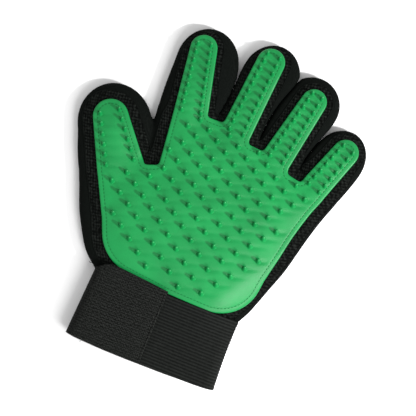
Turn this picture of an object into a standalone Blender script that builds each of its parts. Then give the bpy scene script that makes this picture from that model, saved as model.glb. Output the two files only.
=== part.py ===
"""Five-finger pet grooming glove for the left hand, lying flat with the palm up.

The glove is a sewn shell: a back panel and a palm panel of spacer mesh, joined by
gussets round the fingers, with an elastic wristband and a hook-and-loop closure tab.
A moulded rubber pad with soft nubs is sewn to the palm side.

The layout below is in millimetres, from the middle of the wristband's mouth:
X across the hand towards the little finger, Y towards the fingertips, Z up out of
the palm.  The model's own origin is under the middle of its overall box.
"""

import math
from collections import namedtuple

import bmesh
import bpy
from mathutils import Vector

MM = 0.001

# ---------------------------------------------------------------- driving dimensions

GLOVE_CENTRE = (-4.16, 121.25)      # middle of the overall box, in the layout
GAP = 0.3                         # clearance between pieces that touch

SHELL_HEIGHT = 16.2               # back face to the palm panel's face
PANEL_THICKNESS = 2.2             # spacer mesh
GUSSET_THICKNESS = 1.6            # smooth stretch knit
PAD_THICKNESS = 1.5               # rubber pad
NUB_HEIGHT = 4.5
NUB_BASE_RADIUS = 1.7
NUB_TIP_RADIUS = 0.8
NUB_SIDES = 6

BAND_LENGTH = 50.0                # elastic webbing, along the wrist
BAND_HALF_WIDTH = 54.4
BAND_HEIGHT = 15.4
BAND_WALL = 1.7
TAB_RIGHT = 0.6                   # free edge of the closure tab
TAB_TOP = 54.0                    # its upper edge, above the shoulder
TAB_SHOULDER = -38.0
TAB_SKEW = 1.0                    # its free edge leans this far
TAB_THICKNESS = 1.5
PATCH_THICKNESS = 1.0             # hook and loop patches
LOOP_INSET = 3.0                  # of the loop patch, from the band's edges
HOOK_INSET = 4.0
HOOK_LEFT = -46.0

HINGE_GAP = 0.4                   # each side of a knuckle line
WEB_DEPTH = 5.0                   # of the crotch between two fingers
TIP_SEAM = 0.8                    # from a fingertip's middle to the end of each gusset
CAP_STEPS = 8                     # segments round a fingertip
CORNER_STEPS = 3                  # segments in a rounded corner

PAD_BOTTOM = SHELL_HEIGHT + GAP
PAD_TOP = PAD_BOTTOM + PAD_THICKNESS      # every knuckle hinges at this height
PALM_BOTTOM = SHELL_HEIGHT - PANEL_THICKNESS
WALL_BOTTOM = PANEL_THICKNESS + GAP          # the gussets stand between the panels
WALL_TOP = PALM_BOTTOM - GAP

# A finger stands on its knuckle at (x, y) and leans from +Y towards +X.  Widths are
# left and right of its centre line: at the base, at the start of the round tip, and
# for the rubber strip at the base and the tip.
Finger = namedtuple(
    "Finger",
    "x y lean base_left base_right tip_left tip_right tip_start length "
    "pad_base pad_tip pad_length nub_rows nub_pitch nub_first nub_inset",
)

FINGERS = {
    "thumb": Finger(-63.1, 122.9, -33.0, 29.0, 16.0, 24.2, 26.0, 30.0, 57.4,
                    16.6, 12.6, 47.5, 6, 7.2, 5.6, 5.6),
    "index": Finger(-30.5, 175.2, -10.5, 22.0, 18.0, 18.6, 20.6, 36.0, 61.0,
                    12.0, 9.6, 56.0, 8, 5.97, 6.6, 5.2),
    "middle": Finger(4.1, 174.1, 4.6, 15.6, 17.0, 15.8, 17.0, 47.0, 68.6,
                     10.7, 10.0, 65.0, 10, 5.9, 6.0, 5.4),
    "ring": Finger(37.2, 166.2, 10.5, 15.4, 16.4, 16.0, 16.4, 46.0, 65.4,
                   10.7, 9.1, 58.0, 9, 5.8, 6.4, 5.2),
    "little": Finger(69.3, 157.4, 19.5, 14.8, 17.4, 15.4, 17.2, 26.0, 47.8,
                     10.0, 9.4, 43.0, 6, 6.0, 6.0, 5.0),
}
THUMB_SHOULDER = (26.4, 18.0)     # the thumb widens here, past the thumb crotch

# Outer edge of the hand, along its two free sides and at the thumb crotch
LEFT_SIDE = [(-54.6, 50.6), (-65.0, 60.0), (-73.4, 74.0), (-81.2, 90.0)]
RIGHT_SIDE = [(82.6, 138.0), (77.6, 120.0), (72.0, 98.0), (65.0, 76.0), (54.8, 50.6)]
THUMB_CROTCH = (-50.4, 151.0)

# Rubber pad: lower corners with their radii, free edges and the notches' floors
PAD_LOWER_LEFT = (-49.6, 57.4)
PAD_LOWER_RIGHT = (56.4, 51.0)
PAD_LOWER_LEFT_RADIUS = 24.0
PAD_LOWER_RIGHT_RADIUS = 26.0
PAD_LOWER_EDGE = (2.0, 52.4)
PAD_RIGHT_EDGE = [(61.2, 87.0), (67.2, 117.0), (71.6, 134.0)]
PAD_THUMB_NOTCH = [(-38.4, 133.6), (-47.6, 130.0)]
PAD_INDEX_EDGE = (-39.8, 150.0)
PAD_LITTLE_NOTCH = [(58.6, 158.6), (49.6, 160.4)]
PAD_RING_NOTCH = (17.0, 169.4)

# Staggered nub lattice of the palm: columns and rows with a slight lean and droop
NUB_ORIGIN = (-13.9, 90.0)
NUB_COLUMN_STEP = 8.2
NUB_ROW_STEP = 8.04
NUB_ROW_LEAN = -0.7
NUB_COLUMN_RISE = 1.25
NUB_CONVERGE = -0.067
NUB_COLUMN_DROOP = -0.064
NUB_ROW_DROOP = -0.091
NUB_ROWS = range(-4, 12)             # enough to cover the field
NUB_COLUMNS = range(-7, 12)
NUB_FIELD = [(-32.0, 62.5), (2.0, 57.6), (29.0, 57.6), (42.0, 74.0), (54.5, 92.0),
             (66.5, 148.0), (58.0, 156.5), (38.0, 162.6), (12.0, 169.4),
             (-22.0, 171.4), (-37.4, 168.2), (-34.2, 129.5), (-50.0, 124.6),
             (-68.0, 112.9), (-50.0, 79.5)]

MATERIALS = {
    "rubber": ((0.026, 0.423, 0.107), 0.42),
    "spacer_mesh": ((0.012, 0.013, 0.012), 0.85),
    "stretch_knit": ((0.009, 0.011, 0.010), 0.6),
    "elastic": ((0.013, 0.014, 0.013), 0.75),
    "loop_pile": ((0.014, 0.015, 0.014), 0.95),
    "hook_tape": ((0.016, 0.016, 0.016), 0.5),
}


# ---------------------------------------------------------------- scene helpers

def clear_scene():
    for old in list(bpy.data.objects):
        bpy.data.objects.remove(old, do_unlink=True)


def new_collection(name):
    collection = bpy.data.collections.new(name)
    bpy.context.scene.collection.children.link(collection)
    return collection


def new_material(name):
    colour, roughness = MATERIALS[name]
    material = bpy.data.materials.new(name)
    material.use_nodes = True
    shader = material.node_tree.nodes["Principled BSDF"]
    shader.inputs["Base Color"].default_value = (*colour, 1.0)
    shader.inputs["Roughness"].default_value = roughness
    shader.inputs["Metallic"].default_value = 0.0
    return material


def new_empty(name, location, parent=None, turn=0.0):
    """An empty in millimetres; turn is its rotation about Z in degrees."""
    empty = bpy.data.objects.new(name, None)
    empty.location = Vector(location) * MM
    empty.rotation_euler = (0.0, 0.0, math.radians(turn))
    empty.parent = parent
    parts.objects.link(empty)
    return empty


def own_material(obj, name):
    """Each piece has a material of its own, with the finish of its cloth or rubber."""
    material = new_material(name)
    material.name = obj.name + "_" + name
    obj.data.materials.append(material)


# ---------------------------------------------------------------- flat geometry

def lean_axes(finger):
    """Unit vectors across and along a finger."""
    angle = math.radians(finger.lean)
    along = Vector((math.sin(angle), math.cos(angle)))
    across = Vector((along.y, -along.x))
    return across, along


def on_finger(finger, side, reach):
    """Layout point at a distance side to the right and reach along a finger."""
    across, along = lean_axes(finger)
    point = Vector((finger.x, finger.y)) + across * side + along * reach
    return (point.x, point.y)


def knuckle_line(finger, left, right):
    """The hand's side of a knuckle, from its left end to its right end."""
    return [on_finger(finger, -left, -HINGE_GAP), on_finger(finger, right, -HINGE_GAP)]


def fillet(before, corner, after, radius):
    """Points of the arc that rounds one corner of an outline."""
    corner = Vector(corner)
    to_before = (Vector(before) - corner).normalized()
    to_after = (Vector(after) - corner).normalized()
    half = to_before.angle(to_after) / 2
    setback = radius / math.tan(half)
    centre = corner + (to_before + to_after).normalized() * (radius / math.sin(half))
    start = corner + to_before * setback - centre
    sweep = start.angle_signed(corner + to_after * setback - centre)
    points = []
    for step in range(CORNER_STEPS + 1):
        angle = -sweep * step / CORNER_STEPS
        turned = Vector((start.x * math.cos(angle) - start.y * math.sin(angle),
                         start.x * math.sin(angle) + start.y * math.cos(angle)))
        points.append(tuple(centre + turned))
    return points


def offset_path(path, distance):
    """An open path moved sideways, to the right of its direction of travel."""
    points = [Vector(p) for p in path]
    moved = []
    for i, point in enumerate(points):
        before = points[max(i - 1, 0)]
        after = points[min(i + 1, len(points) - 1)]
        into = (point - before) if i else (after - point)
        out = (after - point) if i < len(points) - 1 else into
        normal_in = Vector((into.y, -into.x)).normalized()
        normal_out = Vector((out.y, -out.x)).normalized()
        mitre = normal_in + normal_out
        moved.append(tuple(point + mitre * (2 * distance / mitre.length_squared)))
    return moved


def inside(point, outline):
    """Whether a point lies inside a closed outline."""
    x, y = point
    crossings = 0
    for (x0, y0), (x1, y1) in zip(outline, outline[1:] + outline[:1]):
        if (y0 > y) != (y1 > y) and x < x0 + (y - y0) * (x1 - x0) / (y1 - y0):
            crossings += 1
    return crossings % 2 == 1


def round_tip(left, right, start, length):
    """Half ellipse over a fingertip, from its right side to its left side."""
    centre = (right - left) / 2
    half_width = (right + left) / 2
    points = []
    for step in range(CAP_STEPS + 1):
        angle = math.pi * step / CAP_STEPS
        points.append((centre + half_width * math.cos(angle),
                       start + (length - start) * math.sin(angle)))
    return points


def sleeve_sides(name):
    """Left and right edges of a finger, each from its base to the middle of its tip."""
    finger = FINGERS[name]
    tip = round_tip(finger.tip_left, finger.tip_right, finger.tip_start, finger.length)
    right = [(finger.base_right, HINGE_GAP)]
    if name == "thumb":
        right.append((THUMB_SHOULDER[0] - GAP, THUMB_SHOULDER[1]))
    middle = CAP_STEPS // 2
    right += tip[:middle + 1]
    left = [(-finger.base_left, HINGE_GAP)] + tip[:middle - 1:-1]
    return left, right


def sleeve_outline(name):
    left, right = sleeve_sides(name)
    return right + left[-2::-1]


def pad_strip_outline(finger):
    start = finger.pad_length - finger.pad_tip
    tip = round_tip(finger.pad_tip, finger.pad_tip, start, finger.pad_length)
    return [(finger.pad_base, HINGE_GAP)] + tip + [(-finger.pad_base, HINGE_GAP)]


def hand_outline():
    """The hand's edge, from the wrist's left corner round by the thumb to its right."""
    outline = list(LEFT_SIDE)
    for name, finger in FINGERS.items():
        outline += knuckle_line(finger, finger.base_left, finger.base_right)
        if name == "thumb":
            outline.append(THUMB_CROTCH)
    return outline + RIGHT_SIDE


def palm_pad_outline():
    """The pad's edge, from its lower left corner round by the thumb to its right."""
    ends = {name: knuckle_line(f, f.pad_base, f.pad_base) for name, f in FINGERS.items()}
    lower_left = fillet(PAD_LOWER_EDGE, PAD_LOWER_LEFT, ends["thumb"][0],
                        PAD_LOWER_LEFT_RADIUS)
    lower_right = fillet(PAD_RIGHT_EDGE[0], PAD_LOWER_RIGHT, PAD_LOWER_EDGE,
                         PAD_LOWER_RIGHT_RADIUS)
    outline = lower_left + ends["thumb"]
    outline += PAD_THUMB_NOTCH[::-1] + [PAD_INDEX_EDGE] + ends["index"]
    outline += ends["middle"] + [PAD_RING_NOTCH] + ends["ring"]
    outline += PAD_LITTLE_NOTCH[::-1] + ends["little"]
    outline += PAD_RIGHT_EDGE[::-1] + lower_right + [PAD_LOWER_EDGE]
    return outline


# ---------------------------------------------------------------- solids

def flat_curve(name, splines, bottom, top):
    """A filled outline, or an outline with a hole, thickened from bottom to top."""
    curve = bpy.data.curves.new(name, "CURVE")
    curve.dimensions = "2D"
    curve.fill_mode = "BOTH"
    curve.extrude = (top - bottom) / 2 * MM
    for points in splines:
        spline = curve.splines.new("POLY")
        spline.points.add(len(points) - 1)
        for target, (x, y) in zip(spline.points, points):
            target.co = (x * MM, y * MM, 0.0, 1.0)
        spline.use_cyclic_u = True
    return bpy.data.objects.new(name, curve)


def plate(name, outline, bottom, top, finish, parent, base=0.0):
    """A flat sheet of cloth or rubber; heights are from the parent's height base."""
    obj = flat_curve(name, [outline], bottom, top)
    obj.location = (0.0, 0.0, ((bottom + top) / 2 - base) * MM)
    obj.parent = parent
    parts.objects.link(obj)
    own_material(obj, finish)
    return obj


def wall(name, path, parent, base=0.0):
    """A gusset that stands between the two panels, just inside the given edge."""
    inner = offset_path(path, GUSSET_THICKNESS)
    plate(name, path + inner[::-1], WALL_BOTTOM, WALL_TOP, "stretch_knit", parent, base)


def to_mesh(obj):
    """Turn a curve object into a closed mesh object, with its caps welded on."""
    bpy.context.view_layer.update()
    evaluated = obj.evaluated_get(bpy.context.evaluated_depsgraph_get())
    mesh = bpy.data.meshes.new_from_object(evaluated)
    cleaner = bmesh.new()
    cleaner.from_mesh(mesh)
    bmesh.ops.remove_doubles(cleaner, verts=cleaner.verts, dist=1e-6)
    bmesh.ops.recalc_face_normals(cleaner, faces=cleaner.faces)
    cleaner.to_mesh(mesh)
    cleaner.free()
    name, parent, location = obj.name, obj.parent, obj.location.copy()
    bpy.data.objects.remove(obj, do_unlink=True)
    solid = bpy.data.objects.new(name, mesh)
    solid.parent = parent
    solid.location = location
    parts.objects.link(solid)
    return solid


def add_nubs(pad, places, parent, base=0.0):
    """Join a soft cone to the pad at each place, standing out of its face."""
    sunk = PAD_THICKNESS / 2
    mesh = bpy.data.meshes.new(pad.name + "_nubs")
    shape = bmesh.new()
    for x, y in places:
        made = bmesh.ops.create_cone(
            shape, cap_ends=True, segments=NUB_SIDES,
            radius1=NUB_BASE_RADIUS * MM, radius2=NUB_TIP_RADIUS * MM,
            depth=(NUB_HEIGHT + sunk) * MM)
        bmesh.ops.translate(shape, verts=made["verts"], vec=(x * MM, y * MM, 0.0))
    shape.to_mesh(mesh)
    shape.free()
    nubs = bpy.data.objects.new(mesh.name, mesh)
    nubs.parent = parent
    nubs.location = (0.0, 0.0, (PAD_TOP + (NUB_HEIGHT - sunk) / 2 - base) * MM)
    nubs.hide_render = True
    nubs.display_type = "WIRE"
    cutters.objects.link(nubs)
    union = pad.modifiers.new("nubs", "BOOLEAN")
    union.operation = "UNION"
    union.object = nubs
    union.solver = "EXACT"


# ---------------------------------------------------------------- sub-assemblies

def palm_nub_places():
    """Staggered rows of nubs, kept to the field inside the pad's seam."""
    places = []
    for row in NUB_ROWS:
        for column in NUB_COLUMNS:
            if (row + column) % 2:
                continue
            x = (NUB_ORIGIN[0] + NUB_COLUMN_STEP * column + NUB_ROW_LEAN * row
                 + NUB_CONVERGE * column * row)
            y = (NUB_ORIGIN[1] + NUB_ROW_STEP * row + NUB_COLUMN_RISE * column
                 + NUB_COLUMN_DROOP * column ** 2 + NUB_ROW_DROOP * row ** 2)
            if inside((x, y), NUB_FIELD):
                places.append((x, y))
    return places


def finger_nub_places(finger):
    """Two columns of nubs that follow the edges of a finger's rubber strip."""
    places = []
    for row in range(finger.nub_rows):
        reach = finger.nub_first + finger.nub_pitch * row
        share = reach / finger.pad_length
        half = finger.pad_base + (finger.pad_tip - finger.pad_base) * share
        side = half - finger.nub_inset
        places += [(-side, reach), (side, reach)]
    return places


def make_hand(glove):
    outline = hand_outline()
    plate("hand_back_panel", outline, 0.0, PANEL_THICKNESS, "spacer_mesh", glove)
    plate("hand_palm_panel", outline, PALM_BOTTOM, SHELL_HEIGHT, "spacer_mesh", glove)

    pad = to_mesh(plate("palm_pad", palm_pad_outline(), PAD_BOTTOM, PAD_TOP,
                        "rubber", glove))
    add_nubs(pad, palm_nub_places(), glove)

    ends = {name: knuckle_line(f, f.base_left, f.base_right)
            for name, f in FINGERS.items()}
    wall("thumb_side_gusset", LEFT_SIDE + [ends["thumb"][0]], glove)
    wall("thumb_crotch_gusset", [ends["thumb"][1], THUMB_CROTCH, ends["index"][0]],
         glove)
    wall("little_side_gusset", [ends["little"][1]] + RIGHT_SIDE, glove)


def make_webs(glove):
    """The crotch of each pair of neighbouring fingers, where their gussets meet."""
    names = list(FINGERS)[1:]
    for name, next_name in zip(names, names[1:]):
        finger = FINGERS[name]
        neighbour = FINGERS[next_name]
        right = finger.base_right
        left = -neighbour.base_left
        outline = [on_finger(finger, right - GUSSET_THICKNESS, -WEB_DEPTH),
                   on_finger(finger, right - GUSSET_THICKNESS, -HINGE_GAP),
                   on_finger(finger, right, -HINGE_GAP),
                   on_finger(neighbour, left, -HINGE_GAP),
                   on_finger(neighbour, left + GUSSET_THICKNESS, -HINGE_GAP),
                   on_finger(neighbour, left + GUSSET_THICKNESS, -WEB_DEPTH)]
        plate(name + "_" + next_name + "_web", outline, WALL_BOTTOM, WALL_TOP,
              "stretch_knit", glove)


def make_finger(name, glove):
    """Back, palm lining, two gussets and a rubber strip, on the knuckle's hinge."""
    finger = FINGERS[name]
    knuckle = new_empty(name + "_knuckle", (finger.x, finger.y, PAD_TOP), glove,
                        -finger.lean)
    outline = sleeve_outline(name)
    plate(name + "_back_panel", outline, 0.0, PANEL_THICKNESS, "spacer_mesh", knuckle,
          PAD_TOP)
    plate(name + "_palm_panel", outline, PALM_BOTTOM, SHELL_HEIGHT, "spacer_mesh",
          knuckle, PAD_TOP)

    left, right = sleeve_sides(name)
    left[-1] = (left[-1][0] - TIP_SEAM, left[-1][1])
    right[-1] = (right[-1][0] + TIP_SEAM, right[-1][1])
    wall(name + "_gusset_left", left, knuckle, PAD_TOP)
    wall(name + "_gusset_right", right[::-1], knuckle, PAD_TOP)

    pad = to_mesh(plate(name + "_pad", pad_strip_outline(finger), PAD_BOTTOM, PAD_TOP,
                        "rubber", knuckle, PAD_TOP))
    add_nubs(pad, finger_nub_places(finger), knuckle, PAD_TOP)


def stadium(half_width, height, wall_inset):
    """Cross-section of the flattened wristband: flat top and bottom, round ends."""
    radius = height / 2 - wall_inset
    centre = half_width - height / 2
    points = []
    for side in (1, -1):
        for step in range(CAP_STEPS + 1):
            angle = math.pi * (step / CAP_STEPS - 0.5)
            points.append((side * (centre + radius * math.cos(angle)),
                           side * radius * math.sin(angle)))
    return points


def make_wristband(glove):
    outer = stadium(BAND_HALF_WIDTH, BAND_HEIGHT, 0.0)
    inner = stadium(BAND_HALF_WIDTH, BAND_HEIGHT, BAND_WALL)
    band = flat_curve("wristband", [outer, inner], 0.0, BAND_LENGTH)
    band.rotation_euler = (math.pi / 2, 0.0, 0.0)
    band.location = Vector((0.0, BAND_LENGTH / 2, BAND_HEIGHT / 2)) * MM
    band.parent = glove
    parts.objects.link(band)
    own_material(band, "elastic")


def rectangle(left, low, right, high):
    return [(left, low), (right, low), (right, high), (left, high)]


def make_closure(glove):
    """Loop patch on the band, and the tab with its hook patch, hinged at the left."""
    loop_bottom = BAND_HEIGHT + GAP
    hook_bottom = loop_bottom + PATCH_THICKNESS + GAP
    tab_bottom = hook_bottom + PATCH_THICKNESS + GAP
    flat_left = -(BAND_HALF_WIDTH - BAND_HEIGHT / 2)
    loop_outline = rectangle(flat_left, LOOP_INSET, -LOOP_INSET, BAND_LENGTH - LOOP_INSET)
    plate("loop_patch", loop_outline, loop_bottom, loop_bottom + PATCH_THICKNESS,
          "loop_pile", glove)

    hinge = new_empty("tab_fold", (-BAND_HALF_WIDTH, BAND_LENGTH / 2, tab_bottom), glove)
    hook_outline = rectangle(HOOK_LEFT, HOOK_INSET, -HOOK_INSET, BAND_LENGTH - HOOK_INSET)
    tab_left = GAP - BAND_HALF_WIDTH
    tab_outline = [(tab_left, 0.0), (TAB_RIGHT - TAB_SKEW, 0.0),
                   (TAB_RIGHT, TAB_TOP - TAB_SKEW), (TAB_SHOULDER, TAB_TOP),
                   (tab_left, BAND_LENGTH)]
    for name, outline, low, high, finish in (
            ("hook_patch", hook_outline, hook_bottom, tab_bottom - GAP, "hook_tape"),
            ("closure_tab", tab_outline, tab_bottom, tab_bottom + TAB_THICKNESS,
             "loop_pile")):
        moved = [(x + BAND_HALF_WIDTH, y - BAND_LENGTH / 2) for x, y in outline]
        plate(name, moved, low, high, finish, hinge, tab_bottom)


clear_scene()
parts = new_collection("grooming_glove")
cutters = new_collection("nub_forms")
glove_origin = new_empty("glove_layout", (-GLOVE_CENTRE[0], -GLOVE_CENTRE[1], 0.0))
make_hand(glove_origin)
make_webs(glove_origin)
for finger_name in FINGERS:
    make_finger(finger_name, glove_origin)
make_wristband(glove_origin)
make_closure(glove_origin)
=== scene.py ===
"""Grooming glove, left hand, lying on its back with the rubber palm up.

Sizes are in millimetres in the glove's layout: X across the hand towards the little
finger, Y from the wristband's mouth towards the fingertips, Z up out of the palm.
"""
import math
from collections import namedtuple

import bmesh
import bpy
import numpy as np
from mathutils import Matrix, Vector, noise
from mathutils.geometry import delaunay_2d_cdt


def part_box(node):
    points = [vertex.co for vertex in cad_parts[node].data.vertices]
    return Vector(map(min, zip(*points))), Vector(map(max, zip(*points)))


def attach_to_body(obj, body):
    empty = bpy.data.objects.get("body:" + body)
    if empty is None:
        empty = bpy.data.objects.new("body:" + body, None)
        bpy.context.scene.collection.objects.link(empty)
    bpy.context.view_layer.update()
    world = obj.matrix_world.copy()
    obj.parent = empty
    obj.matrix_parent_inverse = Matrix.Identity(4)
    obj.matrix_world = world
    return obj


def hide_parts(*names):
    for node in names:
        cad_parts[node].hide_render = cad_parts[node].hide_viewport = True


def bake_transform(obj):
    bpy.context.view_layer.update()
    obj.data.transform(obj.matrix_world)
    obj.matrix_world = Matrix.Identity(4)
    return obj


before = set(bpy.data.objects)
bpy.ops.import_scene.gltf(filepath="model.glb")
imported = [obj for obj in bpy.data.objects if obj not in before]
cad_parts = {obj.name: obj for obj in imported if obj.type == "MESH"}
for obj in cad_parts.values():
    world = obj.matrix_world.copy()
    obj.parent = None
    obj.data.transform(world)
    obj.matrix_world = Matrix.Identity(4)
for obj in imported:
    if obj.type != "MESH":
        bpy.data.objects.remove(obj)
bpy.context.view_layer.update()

MM = 0.001

# ---------------- driving dimensions

GLOVE_CENTRE = np.array([-4.16, 121.25])  # the frame's origin, in the layout
SHELL_TOP = 16.2                          # face of the palm panel
NUB_HEIGHT = 4.5
BAND_LENGTH = 50.0
BAND_HALF_WIDTH = 54.2
BAND_HEIGHT = 15.4
BAND_WALL = 1.7
TAB_WIDTH = 54.0                          # over the wristband

Finger = namedtuple(
    "Finger",
    "x y lean base_left base_right side_left side_right tip_left tip_right tip_start "
    "length pad_base pad_tip pad_shift pad_length nub_rows nub_pitch nub_first nub_inset",
)

# Position and lean of each knuckle, the shell's reach left and right of the centre
# line at the base, half way and at the start of the round tip, and the rubber strip.
FINGERS = {
    "thumb": Finger(-63.1, 122.9, -33.0, 29.2, 16.0, 27.5, 25.0, 24.0, 27.8, 30.0, 58.5,
                    16.6, 12.6, 0.3, 47.5, 6, 7.2, 2.0, 6.6),
    "index": Finger(-30.5, 175.2, -10.5, 23.1, 18.6, 20.8, 26.2, 17.4, 26.7, 36.0, 61.3,
                    12.0, 9.6, 0.4, 56.0, 9, 5.97, 0.7, 5.2),
    "middle": Finger(4.1, 174.1, 4.6, 16.2, 17.8, 16.2, 18.2, 15.5, 24.8, 46.0, 68.8,
                     10.7, 10.0, 0.4, 65.0, 11, 5.9, 0.1, 5.4),
    "ring": Finger(37.2, 166.2, 10.5, 15.6, 17.6, 19.8, 19.0, 19.0, 21.0, 46.0, 66.3,
                   10.7, 9.1, 1.1, 58.0, 10, 5.8, 0.6, 5.4),
    "little": Finger(69.3, 157.4, 19.5, 15.0, 18.6, 19.3, 18.9, 19.2, 18.5, 25.0, 48.8,
                     10.0, 9.4, 0.4, 43.0, 7, 6.0, 0.0, 5.2),
}
FINGER_NAMES = list(FINGERS)
BODIES = ["hand"] + FINGER_NAMES
HINGE_CUT = -1.0          # pieces part here, just on the hand's side of a knuckle
BEND_START = -1.0         # where the fabric would start to turn with the finger; attach works out this point but bends nothing
BEND_END = 15.0           # and where it would have turned fully
THUMB_BEND_END = 40.0     # a longer stretch at the thumb, whose web is wide

LEFT_EDGE = [(-51.6, 40.0), (-52.0, 48.5), (-57.4, 52.6), (-64.9, 60.0), (-72.3, 72.0),
             (-78.7, 84.0), (-83.8, 97.0), (-88.4, 108.0)]
RIGHT_EDGE = [(87.6, 152.4), (82.4, 138.0), (77.4, 120.0), (71.7, 96.0), (65.5, 78.0),
              (59.3, 60.0), (54.4, 50.0), (52.2, 40.0)]
THUMB_CROTCH = (-50.2, 147.0)
WEB_RISE = 3.0            # the hand's cloth goes this far up between two fingers

PAD_LOWER_EDGE = [(26.0, 50.4), (2.0, 51.2), (-26.0, 54.1)]
PAD_LOWER_RIGHT = (57.0, 49.5)
PAD_LOWER_RIGHT_RADIUS = 29.0
PAD_LOWER_LEFT = (-50.6, 57.2)
PAD_LOWER_LEFT_RADIUS = 31.0
PAD_LEFT_EDGE = [(-61.6, 84.0), (-70.8, 102.0)]
PAD_RIGHT_EDGE = [(77.4, 150.0), (73.0, 138.0), (68.1, 120.0), (64.5, 102.0), (60.7, 84.0)]
PAD_INDEX_EDGE = [(-39.8, 150.0)]
PAD_NOTCHES = {"thumb": [(-47.9, 129.6), (-38.0, 133.2)],     # after each finger
               "index": [(-18.9, 177.0), (-6.7, 177.3)],
               "middle": [(15.0, 169.6), (26.7, 168.9)],
               "ring": [(48.2, 160.2), (59.2, 158.0)]}
NOTCH_RADIUS = 2.4
PAD_ROOTS = {"thumb": (0.0, 0.0), "index": (0.0, 3.0), "middle": (6.0, 0.0),
             "ring": (4.0, 0.0), "little": (4.0, 0.0)}   # each strip's left and right

NUB_ORIGIN = (-14.0, 89.5)
NUB_COLUMN_STEP = 8.2
NUB_ROW_STEP = 8.04
NUB_ROW_LEAN = -0.7
NUB_COLUMN_RISE = 1.25
NUB_CONVERGE = -0.067
NUB_COLUMN_DROOP = -0.064
NUB_ROW_DROOP = -0.091
NUB_FIELD = [(-32.0, 62.5), (2.0, 57.4), (29.0, 57.4), (42.0, 74.0), (54.5, 92.0),
             (60.0, 120.0), (71.0, 152.0), (60.0, 156.6), (47.0, 158.0), (28.0, 168.0),
             (12.0, 171.5), (-6.0, 173.6), (-22.0, 173.5), (-34.0, 168.5), (-36.0, 131.5),
             (-50.0, 128.0), (-70.0, 113.5), (-50.0, 79.5)]
NUB_TIP_SHIFT = (-0.2, 1.5)   # the moulded nubs lean a little towards the fingertips


# ---------------- layout geometry

def to_frame(points):
    """Layout millimetres to the frame's metres, for one point or many."""
    moved = np.array(points, float)
    moved[..., :2] -= GLOVE_CENTRE
    return moved * MM


def finger_axes(finger):
    angle = math.radians(finger.lean)
    return (np.array([math.cos(angle), -math.sin(angle)]),
            np.array([math.sin(angle), math.cos(angle)]))


def on_finger(finger, side, reach):
    across, along = finger_axes(finger)
    return np.array([finger.x, finger.y]) + across * side + along * reach


def finger_place(finger, x, y):
    """How far points lie to the right of a finger's centre line and along it."""
    across, along = finger_axes(finger)
    dx = x - finger.x
    dy = y - finger.y
    return dx * across[0] + dy * across[1], dx * along[0] + dy * along[1]


def half_ellipse(left, right, start, length, steps):
    """Round end of a finger, from its left side over the tip to its right side."""
    turn = np.linspace(math.pi, 0.0, steps + 1)
    side = (right - left) / 2 + (right + left) / 2 * np.cos(turn)
    return list(zip(side, start + (length - start) * np.sin(turn)))


def through(low, middle, high, share):
    """Parabola through three values at shares 0, 0.5 and 1."""
    return (low * (1 - share) * (1 - 2 * share) + 4 * middle * share * (1 - share)
            + high * share * (2 * share - 1))


def shell_outline(finger, root=-22.0, steps=10):
    """Silhouette of a finger of the cloth shell, starting deep inside the hand."""
    shares = np.linspace(0.0, 1.0, steps)
    left, right = (
        [(sign * through(*reaches, s), finger.tip_start * s) for s in shares[:-1]]
        for sign, reaches in (
            (-1, (finger.base_left, finger.side_left, finger.tip_left)),
            (1, (finger.base_right, finger.side_right, finger.tip_right))))
    tip = half_ellipse(finger.tip_left, finger.tip_right, finger.tip_start,
                       finger.length, 24)
    local = [(-finger.base_left, root)] + left + tip + right[::-1]
    local.append((finger.base_right, root))
    return [on_finger(finger, *p) for p in local]


def smooth_path(points, per_span=6):
    """Catmull-Rom curve through an open path."""
    p = [np.array(q, float) for q in points]
    p = [2 * p[0] - p[1]] + p + [2 * p[-1] - p[-2]]
    path = []
    for a, b, c, d in zip(p, p[1:], p[2:], p[3:]):
        for t in np.arange(per_span) / per_span:
            path.append(0.5 * (2 * b + (c - a) * t + (2 * a - 5 * b + 4 * c - d) * t ** 2
                               + (3 * b - a - 3 * c + d) * t ** 3))
    return path + [p[-2]]


def fillet(before, corner, after, radius, steps=6):
    """Arc that rounds one corner of an outline."""
    before, corner, after = (Vector(map(float, p)) for p in (before, corner, after))
    to_before = (before - corner).normalized()
    to_after = (after - corner).normalized()
    half = to_before.angle(to_after) / 2
    centre = corner + (to_before + to_after).normalized() * (radius / math.sin(half))
    start = corner + to_before * (radius / math.tan(half)) - centre
    end = corner + to_after * (radius / math.tan(half)) - centre
    sweep = -start.angle_signed(end)
    points = []
    for angle in np.linspace(0.0, sweep, steps + 1):
        c, s = math.cos(angle), math.sin(angle)
        points.append(np.array([centre.x + start.x * c - start.y * s,
                                centre.y + start.x * s + start.y * c]))
    return points


def hand_outline():
    outline = smooth_path(LEFT_EDGE)
    for name, finger in FINGERS.items():
        outline.append(on_finger(finger, -finger.base_left, WEB_RISE))
        outline.append(on_finger(finger, finger.base_right, WEB_RISE))
        if name == "thumb":
            outline.append(np.array(THUMB_CROTCH))
    return outline + smooth_path(RIGHT_EDGE)


def pad_strip(finger, reach_left, reach_right):
    """Edge of one finger's rubber strip, from its left root over the tip."""
    start = finger.pad_length - finger.pad_tip
    local = [(-finger.pad_base, reach_left)]
    local += half_ellipse(finger.pad_tip - finger.pad_shift,
                          finger.pad_tip + finger.pad_shift, start, finger.pad_length, 16)
    local.append((finger.pad_base, reach_right))
    return [on_finger(finger, *p) for p in local]


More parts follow.
